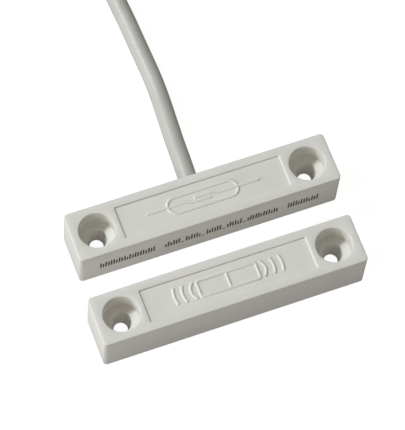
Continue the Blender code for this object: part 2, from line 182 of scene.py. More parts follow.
def add_camera():
    """A long lens from the front left, steeply down on both blocks."""
    aim = Vector((0.31, 7.48, 5.0)) * MM
    azimuth, elevation, roll = math.radians(-26.41), math.radians(66.0), math.radians(6.63)
    distance = 551.8 * MM
    back = direction(azimuth, elevation)
    data = bpy.data.cameras.new("camera")
    data.sensor_width = 36
    data.lens = 234.4
    data.clip_start = 0.01
    data.clip_end = 20
    camera = bpy.data.objects.new("camera", data)
    bpy.context.scene.collection.objects.link(camera)
    turn = (-back).to_track_quat("-Z", "Y").to_matrix().to_4x4() @ Matrix.Rotation(roll, 4, "Z")
    camera.matrix_world = Matrix.Translation(aim + back * distance) @ turn
    bpy.context.scene.camera = camera


# Node materials


class Shader:
    """A material's node tree with short ways to add nodes."""

    def __init__(self, name):
        self.material = bpy.data.materials.new(name)
        self.material.use_nodes = True
        self.tree = self.material.node_tree
        self.surface = self.tree.nodes["Principled BSDF"]
        self.place = self.tree.nodes.new("ShaderNodeTexCoord").outputs["Object"]

    def link(self, output, socket):
        self.tree.links.new(output, socket)

    def set(self, **values):
        for name, value in values.items():
            self.surface.inputs[name.replace("_", " ")].default_value = value

    def noise(self, scale, detail=3.0, roughness=0.5, stretch=None):
        node = self.tree.nodes.new("ShaderNodeTexNoise")
        node.inputs["Scale"].default_value = scale
        node.inputs["Detail"].default_value = detail
        node.inputs["Roughness"].default_value = roughness
        source = self.place
        if stretch:
            mapping = self.tree.nodes.new("ShaderNodeMapping")
            mapping.inputs["Scale"].default_value = stretch
            self.link(source, mapping.inputs["Vector"])
            source = mapping.outputs["Vector"]
        self.link(source, node.inputs["Vector"])
        return node.outputs["Fac"]

    def spread(self, value, low, high, middle=0.5, width=0.3):
        """Value's usual range, around middle, stretched to low and high."""
        node = self.tree.nodes.new("ShaderNodeMapRange")
        node.inputs["From Min"].default_value = middle - width / 2
        node.inputs["From Max"].default_value = middle + width / 2
        node.inputs["To Min"].default_value = low
        node.inputs["To Max"].default_value = high
        self.link(value, node.inputs["Value"])
        return node.outputs["Result"]

    def mix(self, value, first, second):
        node = self.tree.nodes.new("ShaderNodeMix")
        node.data_type = "RGBA"
        node.inputs["A"].default_value = (*first, 1)
        node.inputs["B"].default_value = (*second, 1)
        self.link(value, node.inputs["Factor"])
        return node.outputs["Result"]

    def colour(self, value, first, second):
        self.link(self.mix(value, first, second), self.surface.inputs["Base Color"])

    def bump(self, value, distance, strength=1.0, under=None):
        node = self.tree.nodes.new("ShaderNodeBump")
        node.inputs["Distance"].default_value = distance
        node.inputs["Strength"].default_value = strength
        self.link(value, node.inputs["Height"])
        if under:
            self.link(under, node.inputs["Normal"])
        self.link(node.outputs["Normal"], self.surface.inputs["Normal"])
        return node.outputs["Normal"]


def moulded_plastic():
    """Off-white moulded plastic with a fine spark-eroded grain."""
    shader = Shader("moulded_plastic")
    cloud = shader.spread(shader.noise(160, 2), 0, 1, width=0.5)
    shader.colour(cloud, (0.768, 0.746, 0.695), (0.808, 0.785, 0.734))
    grain = shader.noise(7000, 2, 0.6)
    shader.link(shader.spread(grain, 0.44, 0.56), shader.surface.inputs["Roughness"])
    coarse = shader.bump(shader.noise(900, 2), 0.000006)
    shader.bump(grain, 0.000008, 0.6, coarse)
    shader.set(IOR=1.5)
    return shader.material


def ink():
    shader = Shader("print_ink")
    shader.colour(shader.spread(shader.noise(9000, 1), 0, 1), (0.030, 0.032, 0.035), (0.075, 0.075, 0.075))
    shader.set(Roughness=0.6)
    return shader.material


def sealing_resin():
    shader = Shader("sealing_resin")
    swirl = shader.spread(shader.noise(260, 4, 0.6), 0, 1)
    shader.colour(swirl, (0.095, 0.095, 0.093), (0.130, 0.130, 0.127))
    shader.link(shader.spread(shader.noise(1200, 2), 0.24, 0.38), shader.surface.inputs["Roughness"])
    shader.bump(shader.noise(420, 3), 0.00003)
    shader.set(Coat_Weight=0.3)
    return shader.material


def glass_fibre_board():
    shader = Shader("glass_fibre_board")
    weave = shader.tree.nodes.new("ShaderNodeTexBrick")
    weave.inputs["Scale"].default_value = 1600
    weave.inputs["Mortar Size"].default_value = 0.06
    shader.link(shader.place, weave.inputs["Vector"])
    shader.colour(weave.outputs["Fac"], (0.020, 0.115, 0.045), (0.032, 0.150, 0.065))
    shader.bump(weave.outputs["Fac"], 0.000008)
    shader.set(Roughness=0.38, Coat_Weight=0.4)
    return shader.material


def reed_glass():
    shader = Shader("reed_glass")
    shader.colour(shader.spread(shader.noise(500, 1), 0, 1), (0.72, 0.93, 0.80), (0.80, 0.96, 0.86))
    shader.link(shader.spread(shader.noise(900, 2), 0.01, 0.04), shader.surface.inputs["Roughness"])
    shader.set(Transmission_Weight=1.0, IOR=1.5)
    return shader.material


def drawn_metal(name, dark, light, low, high, scale=3000):
    shader = Shader(name)
    streak = shader.noise(scale, 3, stretch=(0.08, 1, 1))
    shader.colour(shader.spread(streak, 0, 1), dark, light)
    shader.link(shader.spread(streak, low, high), shader.surface.inputs["Roughness"])
    shader.bump(streak, 0.000003)
    shader.set(Metallic=1.0)
    return shader.material


def sintered_magnet():
    shader = Shader("ferrite")
    grain = shader.noise(4200, 4, 0.7)
    shader.colour(shader.spread(grain, 0, 1), (0.028, 0.028, 0.031), (0.062, 0.061, 0.064))
    shader.link(shader.spread(grain, 0.5, 0.7), shader.surface.inputs["Roughness"])
    shader.bump(grain, 0.00002)
    return shader.material


def soft_sheath():
    """The cable's off-white PVC, a little warmer and glossier than the blocks."""
    shader = Shader("cable_sheath")
    cloud = shader.spread(shader.noise(120, 2), 0, 1, width=0.5)
    shader.colour(cloud, (0.526, 0.515, 0.468), (0.562, 0.552, 0.506))
    fine = shader.noise(2600, 2)
    shader.link(shader.spread(fine, 0.42, 0.52), shader.surface.inputs["Roughness"])
    shader.bump(fine, 0.000006)
    shader.set(IOR=1.52)
    return shader.material


def core_plastic(colour):
    shader = Shader("core_" + colour)
    base = CORE_COLOURS[colour]
    deep = tuple(0.75 * c for c in base)
    shader.colour(shader.spread(shader.noise(1500, 2), 0, 1), deep, base)
    shader.link(shader.spread(shader.noise(2600, 2), 0.26, 0.38), shader.surface.inputs["Roughness"])
    return shader.material


def tie_plastic():
    shader = Shader("tie_plastic")
    shader.colour(shader.spread(shader.noise(700, 2), 0, 1), (0.62, 0.62, 0.60), (0.72, 0.72, 0.70))
    ribs = shader.noise(5200, 1)
    shader.link(shader.spread(ribs, 0.3, 0.45), shader.surface.inputs["Roughness"])
    shader.bump(ribs, 0.00001)
    return shader.material


def camera_share(tree, other, seen):
    """A value that is `seen` where the camera looks at it directly, and `other` as light on the blocks."""
    ray = tree.nodes.new("ShaderNodeLightPath")
    choice = tree.nodes.new("ShaderNodeMapRange")
    choice.inputs["To Min"].default_value = other
    choice.inputs["To Max"].default_value = seen
    tree.links.new(ray.outputs["Is Camera Ray"], choice.inputs["Value"])
    return choice.outputs["Result"]


def studio_floor():
    shader = Shader("studio_floor")
    shader.colour(shader.spread(shader.noise(3, 1), 0, 1), (0.19, 0.19, 0.19), (0.21, 0.21, 0.21))
    shader.link(camera_share(shader.tree, 0.24, 0.94), shader.surface.inputs["Emission Strength"])
    shader.set(Roughness=0.9, Emission_Color=(1, 1, 1, 1))
    return shader.material


# Mesh helpers


def add_piece(name, bm, mat, body, replaced=()):
    """Makes the finished piece from a mesh in world places, and lets it ride on its body."""
    mesh = bpy.data.meshes.new(name)
    bm.to_mesh(mesh)
    bm.free()
    obj = bpy.data.objects.new(name, mesh)
    bpy.context.scene.collection.objects.link(obj)
    return dress(obj, mat, body, replaced)


def dress(obj, mat, body, replaced=()):
    if obj.type == "MESH":
        obj.data.shade_smooth()
        obj.data.set_sharp_from_angle(angle=math.radians(32))
    obj.data.materials.clear()
    obj.data.materials.append(mat)
    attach(obj, body)
    if replaced:
        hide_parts(*replaced)
    return obj


def rounded_outline(length, width, radius, steps):
    """A rounded rectangle about the origin, as points in order."""
    points = []
    for quarter in range(4):
        side_x = 1 if quarter in (0, 3) else -1
        side_y = 1 if quarter < 2 else -1
        middle = Vector((side_x * (length / 2 - radius), side_y * (width / 2 - radius)))
        for step in range(steps + 1):
            angle = math.radians(90) * (quarter + step / steps)
            points.append(middle + radius * Vector((math.cos(angle), math.sin(angle))))
    return points


def circle_outline(radius, steps, middle=(0, 0)):
    turn = [math.tau * step / steps for step in range(steps)]
    return [Vector(middle) + radius * Vector((math.cos(a), math.sin(a))) for a in turn]


def add_ring(bm, outline, height, at):
    return [bm.verts.new((at.x + p.x, at.y + p.y, at.z + height)) for p in outline]


def bridge(bm, low, high):
    for index in range(len(low)):
        after = (index + 1) % len(low)
        bm.faces.new((low[index], low[after], high[after], high[index]))


def wall(bm, rings):
    for low, high in zip(rings, rings[1:]):
        bridge(bm, low, high)
    return rings


def loop_edges(bm, ring):
    return [bm.edges.get((ring[i], ring[(i + 1) % len(ring)])) for i in range(len(ring))]


def fill_between(bm, rings, normal):
    """A flat face bounded by the first ring, with the others as holes in it."""
    edges = [edge for ring in rings for edge in loop_edges(bm, ring)]
    bmesh.ops.triangle_fill(bm, edges=edges, normal=normal, use_beauty=True)


def rounded_edge(radius, steps=4):
    """(inward, down) offsets of a quarter round, from the flat top to the upright side."""
    angles = [math.radians(90) * step / steps for step in range(steps + 1)]
    return [(radius * (1 - math.sin(a)), radius * (1 - math.cos(a))) for a in angles]


def smooth_route(route, spacing):
    """Evenly spaced points on a smooth curve through the route's own points."""
    fine = []
    for index in range(len(route) - 1):
        here, there = route[index], route[index + 1]
        before = route[max(index - 1, 0)]
        beyond = route[min(index + 2, len(route) - 1)]
        fine += interpolate_bezier(here, here + (there - before) / 6, there - (beyond - here) / 6, there, 24)
    length = sum((b - a).length for a, b in zip(fine, fine[1:]))
    count = max(2, round(length / spacing))
    points, walked, target = [fine[0]], 0.0, length / count
    for a, b in zip(fine, fine[1:]):
        step = (b - a).length
        while step and walked + step >= target and len(points) < count:
            points.append(a.lerp(b, (target - walked) / step))
            target += length / count
        walked += step
    return points + [fine[-1]]


def add_tube(bm, points, radius, sides=12, closed=False):
    """A tube that follows the points, its frame carried along without twist."""
    count = len(points)
    heading = []
    for index in range(count):
        before = points[index - 1] if closed or index else points[0]
        after = points[(index + 1) % count] if closed or index < count - 1 else points[-1]
        heading.append((after - before).normalized())
    side = heading[0].orthogonal().normalized()
    rings = []
    for point, along in zip(points, heading):
        side = (side - along * side.dot(along)).normalized()
        up = along.cross(side)
        angles = [math.tau * s / sides for s in range(sides)]
        rings.append([bm.verts.new(point + radius * (side * math.cos(a) + up * math.sin(a))) for a in angles])
    wall(bm, rings)
    if closed:
        bridge(bm, rings[-1], rings[0])
    else:
        bm.faces.new(list(reversed(rings[0])))
        bm.faces.new(rings[-1])
    return rings


# Housings


def outer_skin(bm, at):
    """The block's outside: top loop, rounded top edge, sides, bottom edge, bottom loop."""
    steps = 9
    rings = []
    for inward, down in rounded_edge(TOP_EDGE):
        outline = rounded_outline(
            BLOCK_LENGTH - 2 * inward, BLOCK_WIDTH - 2 * inward, CORNER_RADIUS - inward, steps
        )
        rings.append(add_ring(bm, outline, BLOCK_HEIGHT - down, at))
    for inward, down in reversed(rounded_edge(BOTTOM_EDGE, 2)):
        outline = rounded_outline(
            BLOCK_LENGTH - 2 * inward, BLOCK_WIDTH - 2 * inward, CORNER_RADIUS - inward, steps
        )
        rings.append(add_ring(bm, outline, down, at))
    wall(bm, rings)
    return rings[0], rings[-1]


def screw_hole(bm, at, side):
    """A counterbore, a bore that narrows to its throat, and a relief. Returns its top and bottom loops."""
    steps = 72
    middle = (side * SCREW_SPACING / 2, 0)
    seat_top = BLOCK_HEIGHT - HEAD_DEPTH
    seat_bottom = seat_top - SEAT_DEPTH
    soft = HOLE_SOFT
    profile = [(HEAD_RADIUS + inward, BLOCK_HEIGHT - down) for inward, down in rounded_edge(HOLE_LIP, 3)]
    profile += [
        (HEAD_RADIUS, seat_top + soft),
        (HEAD_RADIUS - soft, seat_top - 0.3 * soft),
        (MOUTH_RADIUS + soft, seat_bottom + 0.4 * soft),
        (MOUTH_RADIUS - 0.3 * soft, seat_bottom - soft),
        (THROAT_RADIUS, THROAT_HEIGHT),
        (THROAT_RADIUS + soft, THROAT_HEIGHT - soft),
        (RELIEF_RADIUS - soft, RELIEF_HEIGHT),
        (RELIEF_RADIUS, RELIEF_HEIGHT - soft),
        (RELIEF_RADIUS, BOTTOM_EDGE),
        (RELIEF_RADIUS + BOTTOM_EDGE, 0),
    ]
    rings = wall(bm, [add_ring(bm, circle_outline(r, steps, middle), z, at) for r, z in profile])
    return rings[0], rings[-1]


def panel_recess(bm, at):
    """The shallow recess in the top, floor included. Returns its top loop."""
    profile = [(-outward, down) for outward, down in rounded_edge(PANEL_LIP, 2)]
    profile += [(PANEL_DRAFT, PANEL_DEPTH - PANEL_FOOT), (PANEL_DRAFT + PANEL_FOOT, PANEL_DEPTH)]
    rings = []
    for inset, down in profile:
        outline = rounded_outline(PANEL_LENGTH - 2 * inset, PANEL_WIDTH - 2 * inset, PANEL_CORNER, 3)
        rings.append(add_ring(bm, outline, BLOCK_HEIGHT - down, at))
    wall(bm, rings)
    bm.faces.new(rings[-1])
    return rings[0]


def hollow(bm, at):
    """The open space inside the block. Returns its loop in the block's underside."""
    rings = []
    for inset, height in ((0, 0), (0, CAVITY_HEIGHT - CAVITY_ROOF), (CAVITY_ROOF, CAVITY_HEIGHT)):
        length, width = CAVITY_LENGTH - 2 * inset, CAVITY_WIDTH - 2 * inset
        outline = rounded_outline(length, width, CAVITY_CORNER - inset, 4)
        rings.append(add_ring(bm, outline, height, at))
    wall(bm, rings)
    bm.faces.new(rings[-1])
    return rings[0]


def housing_mesh(at):
    bm = bmesh.new()
    top, bottom = outer_skin(bm, at)
    holes = [screw_hole(bm, at, side) for side in (-1, 1)]
    fill_between(bm, [top, panel_recess(bm, at), *[hole[0] for hole in holes]], (0, 0, 1))
    fill_between(bm, [bottom, hollow(bm, at), *[hole[1] for hole in holes]], (0, 0, -1))
    bmesh.ops.recalc_face_normals(bm, faces=bm.faces)
    return bm


def add_stroke(bm, path, at, closed=False):
    """A raised stroke on the panel floor along a flat path, with sloping sides and soft shoulders."""
    floor = BLOCK_HEIGHT - PANEL_DEPTH
    half = SIGN_STROKE / 2
    slope = ((1.0, -0.15), (0.8, 0.4), (0.5, 0.85), (0.2, 1.0))
    section = [(-half * out, SIGN_RISE * rise) for out, rise in slope]
    section += [(half * out, SIGN_RISE * rise) for out, rise in reversed(slope)]
    count = len(path)
    rings = []
    for index, point in enumerate(path):
        before = path[index - 1] if closed or index else point
        after = path[(index + 1) % count] if closed or index < count - 1 else point
        along = (after - before).normalized()
        across = Vector((along.y, -along.x))
        ring = []
        for aside, rise in section:
            place = point + across * aside
            ring.append(bm.verts.new((at.x + place.x, at.y + place.y, at.z + floor + rise)))
        rings.append(ring)
    wall(bm, rings)
    if closed:
        bridge(bm, rings[-1], rings[0])
    else:
        bm.faces.new(list(reversed(rings[0])))
        bm.faces.new(rings[-1])


def arc(middle, radius, start, end, steps):
    angles = [math.radians(start + (end - start) * s / steps) for s in range(steps + 1)]
    return [Vector(middle) + radius * Vector((math.cos(a), math.sin(a))) for a in angles]


def reed_sign(bm, at):
    """The sign of a reed contact: a capsule with two blades that meet inside it."""
    capsule = rounded_outline(SIGN_LENGTH * 0.62, SIGN_HEIGHT, SIGN_HEIGHT / 2 - 0.01 * MM, 10)
    add_stroke(bm, capsule, at, closed=True)
    end, lap, bend, gap = SIGN_LENGTH / 2, 1.6 * MM, 3.4 * MM, 0.42 * MM
    for side in (-1, 1):
        points = [(-end, 0), (-bend, 0), (-bend + 1.2 * MM, -gap), (lap, -gap)]
        add_stroke(bm, [side * Vector(point) for point in points], at)


def magnet_sign(bm, at):
    """The sign of a bar magnet: a bar in two halves with curved field lines at its ends."""
    length = SIGN_LENGTH * 0.52
    add_stroke(bm, rounded_outline(length, SIGN_HEIGHT, 0.35 * MM, 4), at, closed=True)
    add_stroke(bm, [Vector((0, -SIGN_HEIGHT / 2)), Vector((0, SIGN_HEIGHT / 2))], at)
    for side in (-1, 1):
        turn = 0 if side > 0 else 180
        for radius in (2.2 * MM, 3.9 * MM, 5.6 * MM):
            spread = math.degrees(math.asin(min(1, SIGN_HEIGHT / 2 / radius)))
            middle = (side * (length / 2 - 0.6 * MM), 0)
            add_stroke(bm, arc(middle, radius, turn - spread, turn + spread, 10), at)


def join_sign(bm, sign, at):
    extra = bmesh.new()
    sign(extra, at)
    bmesh.ops.recalc_face_normals(extra, faces=extra.faces)
    mesh = bpy.data.meshes.new("sign")
    extra.to_mesh(mesh)
    extra.free()
    bm.from_mesh(mesh)
    bpy.data.meshes.remove(mesh)


def drill_cable_hole(obj):
    """Cuts the round cable hole in the switch block's back wall."""
    bm = bmesh.new()
    depth, chamfer = 2.2 * MM, 0.15 * MM
    outline = circle_outline(CABLE_HOLE_RADIUS, 48)
    wide = circle_outline(CABLE_HOLE_RADIUS + chamfer, 48)
    layers = [(outline, -depth), (outline, -chamfer), (wide, 0.0), (wide, depth)]
    rings = wall(bm, [[bm.verts.new((p.x, away, p.y)) for p in shape] for shape, away in layers])
    bm.faces.new(rings[0])
    bm.faces.new(rings[-1])
    bmesh.ops.recalc_face_normals(bm, faces=bm.faces)
    bmesh.ops.translate(bm, verts=bm.verts, vec=CABLE_EXIT)
    mesh = bpy.data.meshes.new("cable_hole")
    bm.to_mesh(mesh)
    bm.free()
    tool = bpy.data.objects.new("cable_hole", mesh)
    bpy.context.scene.collection.objects.link(tool)
    step = obj.modifiers.new("cable_hole", "BOOLEAN")
    step.object = tool
    step.solver = "EXACT"
    bake_modifiers(obj)
    bpy.data.objects.remove(tool)


def bake_modifiers(obj):
    """Swaps the mesh for the evaluated one and drops the modifiers."""
    graph = bpy.context.evaluated_depsgraph_get()
    made = bpy.data.meshes.new_from_object(obj.evaluated_get(graph))
    obj.modifiers.clear()
    obj.data = made


def add_housing(name, node, at, sign, body, mat, drilled=False):
    mesh = bpy.data.meshes.new(name)
    bm = housing_mesh(at)
    bm.to_mesh(mesh)
    bm.free()
    obj = bpy.data.objects.new(name, mesh)
    bpy.context.scene.collection.objects.link(obj)
    if drilled:
        drill_cable_hole(obj)
    bm = bmesh.new()
    bm.from_mesh(obj.data)
    join_sign(bm, sign, at)
    bm.to_mesh(obj.data)
    bm.free()
    dress(obj, mat, body, [node])


# Printed marks


def dots_on_points(name, points, mat):
    """One plain mesh of round dots that face the front, set on the points by Geometry Nodes."""
    mesh = bpy.data.meshes.new(name)
    mesh.from_pydata([tuple(p) for p in points], [], [])
    obj = bpy.data.objects.new(name, mesh)
    bpy.context.scene.collection.objects.link(obj)
    tree = bpy.data.node_groups.new(name, "GeometryNodeTree")
    tree.interface.new_socket("Geometry", in_out="INPUT", socket_type="NodeSocketGeometry")
    dot = tree.interface.new_socket("Dot Radius", in_out="INPUT", socket_type="NodeSocketFloat")
    thick = tree.interface.new_socket("Dot Thickness", in_out="INPUT", socket_type="NodeSocketFloat")
    tree.interface.new_socket("Geometry", in_out="OUTPUT", socket_type="NodeSocketGeometry")
    nodes, links = tree.nodes, tree.links
    entry = nodes.new("NodeGroupInput")
    leave = nodes.new("NodeGroupOutput")
    disc = nodes.new("GeometryNodeMeshCylinder")
    disc.inputs["Vertices"].default_value = 12
    place = nodes.new("GeometryNodeInstanceOnPoints")
    place.inputs["Rotation"].default_value = (math.radians(90), 0, 0)
    real = nodes.new("GeometryNodeRealizeInstances")
    paint = nodes.new("GeometryNodeSetMaterial")
    paint.inputs["Material"].default_value = mat
    links.new(entry.outputs["Dot Radius"], disc.inputs["Radius"])
    links.new(entry.outputs["Dot Thickness"], disc.inputs["Depth"])
    links.new(entry.outputs["Geometry"], place.inputs["Points"])
    links.new(disc.outputs["Mesh"], place.inputs["Instance"])
    links.new(place.outputs["Instances"], real.inputs["Geometry"])
    links.new(real.outputs["Geometry"], paint.inputs["Geometry"])
    links.new(paint.outputs["Geometry"], leave.inputs["Geometry"])
    step = obj.modifiers.new(name, "NODES")
    step.node_group = tree
    step[dot.identifier] = DOT_RADIUS
    step[thick.identifier] = DOT_THICKNESS
    bake_modifiers(obj)
    return obj


def batch_mark(mat):
    """Groups of dotted bars, with two low dots after each short group. They spell nothing."""
    front = SWITCH_AT.y - BLOCK_WIDTH / 2
    foot = BLOCK_HEIGHT / 2 - max(BAR_DOTS) / 2 * DOT_PITCH
    left = SWITCH_AT.x + MARK_START
    heights = itertools.cycle(BAR_DOTS)
    points = []
    for number, marks in enumerate(MARK_GROUPS):
        for _ in range(marks):
            for bar in range(BARS_IN_MARK):
                along = left + bar * BAR_PITCH
                points += [(along, front, foot + row * DOT_PITCH) for row in range(next(heights))]
            left += MARK_PITCH
        if marks == 2:
            points += [(left + dot * DOT_PITCH, front, foot) for dot in (0, 1)]
        left += WIDE_SPACE if number in (0, 5) else GROUP_SPACE
    dress(dots_on_points("batch_mark", points, mat), mat, "switch_unit")


# Resin


def add_resin(name, node, at, body, mat):
    """The filling's face climbs a little up the walls around it, as it does when it sets."""
    low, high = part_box(node)
    length, width = high.x - low.x, high.y - low.y
    corner, climb, climb_reach, wave = 0.5 * MM, 0.22 * MM, 0.5 * MM, 0.03 * MM
    edge = low.z - 0.08 * MM
    bm = bmesh.new()
    rings = [add_ring(bm, rounded_outline(length, width, corner, 6), high.z, at)]
    for millimetres in (0.0, 0.12, 0.28, 0.5, 0.8, 1.2, 1.8, 2.6, 3.3):
        inset = millimetres * MM
        height = edge + climb * (1 - math.exp(-inset / climb_reach))
        outline = rounded_outline(length - 2 * inset, width - 2 * inset, corner - 0.12 * inset, 6)
        ring = add_ring(bm, outline, height, at)
        for vert in ring:
            vert.co.z += wave * noise.noise(vert.co * 420) * min(1, millimetres)
        rings.append(ring)
    wall(bm, rings)
    bm.faces.new(rings[0])
    bm.faces.new(rings[-1])
    bmesh.ops.recalc_face_normals(bm, faces=bm.faces)
    add_piece(name, bm, mat, body, [node])


# Reed switch and board


def turned_ring(bm, profile, steps, middle):
    """A closed ring about an axis along X: profile is a closed loop of (radius, along) points."""
    sections = []
    for step in range(steps):
        angle = math.tau * step / steps
        turn = Vector((0, math.cos(angle), math.sin(angle)))
        sections.append([bm.verts.new(middle + turn * r + Vector((x, 0, 0))) for r, x in profile])
    for step in range(steps):
        here, there = sections[step], sections[(step + 1) % steps]
        bridge(bm, here, there)


def add_reed_glass(mat):
    low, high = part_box("reed_glass")
    middle = (low + high) / 2
    half = (high.x - low.x) / 2
    radius = (high.z - low.z) / 2
    bore = radius - 0.25 * MM
    neck = 0.29 * MM
    seal = 1.1 * MM
    blunt = 0.42 * radius
    outside = [(neck, -half), (blunt, -half + 0.02 * MM)]
    outside += [
        (blunt + (radius - blunt) * math.sin(a), -half + seal * (1 - math.cos(a)))
        for a in (math.radians(90) * s / 6 for s in range(1, 7))
    ]
    inside = [(bore, -half + seal * 1.2), (bore * 0.75, -half + seal * 0.95), (neck, -half + seal * 0.85)]
    profile = outside + [(r, -x) for r, x in reversed(outside)]
    profile += [(r, -x) for r, x in reversed(inside)] + inside
    bm = bmesh.new()
    turned_ring(bm, profile, 40, middle)
    bmesh.ops.recalc_face_normals(bm, faces=bm.faces)
    add_piece("reed_capsule", bm, mat, "switch_unit", ["reed_glass"])


def add_board_tracks(mat):
    """Tinned tracks on top of the board, between the joints that they join."""
    board_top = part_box("circuit_board")[1].z
    foot, top = board_top + 0.004 * MM, board_top + 0.035 * MM
    half = 0.35 * MM / 2
    bm = bmesh.new()

    def track(*points):
        """One flat strip through the points, mitred at its corners."""
        ways = [(b - a).normalized() for a, b in zip(points, points[1:])]
        sides = [Vector((way.y, -way.x)) for way in ways]
        mitres = [(p + q) / (1 + p.dot(q)) for p, q in zip(sides, sides[1:])]
        rings = []
        for point, out in zip(points, [sides[0], *mitres, sides[-1]]):
            left, right = point - half * out, point + half * out
            section = ((left, foot), (right, foot), (right, top), (left, top))
            rings.append([bm.verts.new((place.x, place.y, height)) for place, height in section])
        wall(bm, rings)
        bm.faces.new(rings[0])
        bm.faces.new(rings[-1])

    def joint(node):
        low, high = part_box(node)
        return Vector(((low.x + high.x) / 2, (low.y + high.y) / 2))

    for word, colour in (("left", "black"), ("right", "red")):
        reed, core = joint("solder_reed_" + word), joint("solder_" + colour)
        track(reed, Vector((reed.x, core.y)), core)
    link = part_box("tamper_link")
    link_y = (link[0].y + link[1].y) / 2
    yellow, blue = joint("solder_yellow"), joint("solder_blue")
    edge_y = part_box("circuit_board")[0].y + 0.45 * MM
    track(blue, Vector((blue.x, edge_y)), Vector((link[0].x, edge_y)), Vector((link[0].x, link_y)))
    track(yellow, Vector((yellow.x, link_y)), Vector((link[1].x, link_y)))
    bmesh.ops.recalc_face_normals(bm, faces=bm.faces)
    add_piece("board_tracks", bm, mat, "switch_unit")


def add_core_ends(mat):
    """The bare end of each core, from its insulation into its solder joint."""
    bm = bmesh.new()
    for colour in CORE_COLOURS:
        low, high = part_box("solder_" + colour)
        joint = (low + high) / 2
        corners = {tuple(vert.co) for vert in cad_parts["core_" + colour].data.vertices}
        apart = {corner: (Vector(corner) - joint).length for corner in sorted(corners)}
        nearest = min(apart.values())
        rim = [Vector(corner) for corner, away in apart.items() if away < nearest + CORE_RADIUS / 2]
        end = sum(rim, Vector()) / len(rim)
        inside = end + (end - joint).normalized() * CORE_RADIUS
        add_tube(bm, [joint, end, inside], TIP_RADIUS)
    bmesh.ops.recalc_face_normals(bm, faces=bm.faces)
    add_piece("core_ends", bm, mat, "switch_unit")


# Cable


def coil_place(turns):
    """The cable's middle line after so many turns of the coil. Each level turn steps over once at its end."""

    def seat(turn):
        layer, column = divmod(turn, COIL_COLUMNS)
        column = column if layer % 2 else COIL_COLUMNS - 1 - column
        radius = COIL_MIDDLE_RADIUS + (column - (COIL_COLUMNS - 1) / 2) * 2 * CABLE_RADIUS
        return radius, COIL_LIFT + (2 * layer + 1) * CABLE_RADIUS

    turn = math.floor(turns)
    share = max(0.0, (turns - turn - (1 - TURN_STEP)) / TURN_STEP)
    share = share * share * (3 - 2 * share)
    (radius, height), (next_radius, next_height) = seat(turn), seat(turn + 1)
    radius += (next_radius - radius) * share
    height += (next_height - height) * share
    return on_coil(radius, math.pi - math.tau * turns, height)


def on_coil(radius, angle, height):
    return COIL_AT + Vector((radius * math.cos(angle), radius * math.sin(angle), height))


def cable_route():
    per_turn = 16
    end = FULL_TURNS + (math.pi - TAIL_ANGLE) / math.tau
    count = math.ceil(end * per_turn)
    turns = [coil_place(end * step / count) for step in range(1, count + 1)]
    rise = LEAD_ROUTE[-1].lerp(coil_place(0), 0.55)
    return [*LEAD_ROUTE, rise, coil_place(0), *turns]


def add_cable(mat, pieces):
    points = smooth_route(cable_route(), 1.0 * MM)
    curve = bpy.data.curves.new("cable", "CURVE")
    curve.dimensions = "3D"
    curve.bevel_depth = CABLE_RADIUS
    curve.bevel_resolution = 6
    curve.use_fill_caps = True
    spline = curve.splines.new("POLY")
    spline.points.add(len(points) - 1)
    for target, point in zip(spline.points, points):
        target.co = (*point, 1)
    spline.use_smooth = True
    obj = bpy.data.objects.new("cable", curve)
    bpy.context.scene.collection.objects.link(obj)
    dress(obj, mat, "switch_unit", ["cable_lead", "cable_coil", "cable_tail"])


def on_step(way, offset, height):
    """A place so far past the sheath's end, over the turn that the cores lie on."""
    return on_coil(TAIL_RADIUS + offset, TAIL_ANGLE - way / TAIL_RADIUS, height)


def core_bed(offset):
    """Height of a core's middle line where it lies on the turn below."""
    return TAIL_HEIGHT - 2 * CABLE_RADIUS + math.sqrt((CABLE_RADIUS + CORE_RADIUS) ** 2 - offset**2)


def tail_core_route(side, up):
    """Out of the sheath and down beside the other cores."""
    rest = CORE_SHIFT + side * CORE_REST[up]
    bed = core_bed(rest)
    route = []
    for way, aside, fallen in CORE_WAY[up]:
        offset = side * CORE_SPREAD * (1 - aside) + rest * aside
        height = (TAIL_HEIGHT + up * CORE_SPREAD) * (1 - fallen) + bed * fallen
        route.append(on_step(way * MM - 0.3 * MM, offset, height))
    route += [on_step(CORE_LENGTH * share, rest, bed) for share in (0.7, 0.85, 1.0)]
    return smooth_route(route, 0.35 * MM), rest


def add_strands(bm, rest):
    """A bare stranded tip: one wire and six twisted round it."""
    wire = TIP_RADIUS / 3
    bed = core_bed(rest)
    steps = 24
    for number in range(7):
        points = []
        for step in range(steps + 1):
            angle = math.tau * (number / 6 + 1.1 * step / steps)
            out = 2 * wire if number < 6 else 0
            way = CORE_LENGTH - 0.2 * MM + TIP_LENGTH * step / steps
            points.append(on_step(way, rest + out * math.cos(angle), bed + out * math.sin(angle)))
        add_tube(bm, points, wire, 8)


def add_tail_cores(mats, copper):
    made = []
    sides = {"red": (1, 1), "black": (-1, 1), "yellow": (1, -1), "blue": (-1, -1)}
    for colour, (side, up) in sides.items():
        points, rest = tail_core_route(side, up)
        bm = bmesh.new()
        add_tube(bm, points, CORE_RADIUS, 16)
        name = "tail_core_" + colour
        made.append(
            add_piece(name + "_insulation", bm, mats[colour], "switch_unit", [name])
        )
        bm = bmesh.new()
        add_strands(bm, rest)
        name = "tail_tip_" + colour
        made.append(add_piece(name + "_strands", bm, copper, "switch_unit", [name]))
    return made


def taut_outline(corners, radius, steps):
    """A band pulled tight round equal circles, whose middles are given anticlockwise."""
    points = []
    for index, corner in enumerate(corners):
        arrive = corner - corners[index - 1]
        leave = corners[(index + 1) % len(corners)] - corner
        start = math.atan2(-arrive.x, arrive.y)
        sweep = (math.atan2(-leave.x, leave.y) - start) % math.tau
        for step in range(steps + 1):
            angle = start + sweep * step / steps
            points.append((corner, Vector((math.cos(angle), math.sin(angle)))))
    return [(corner + radius * out, out) for corner, out in points]


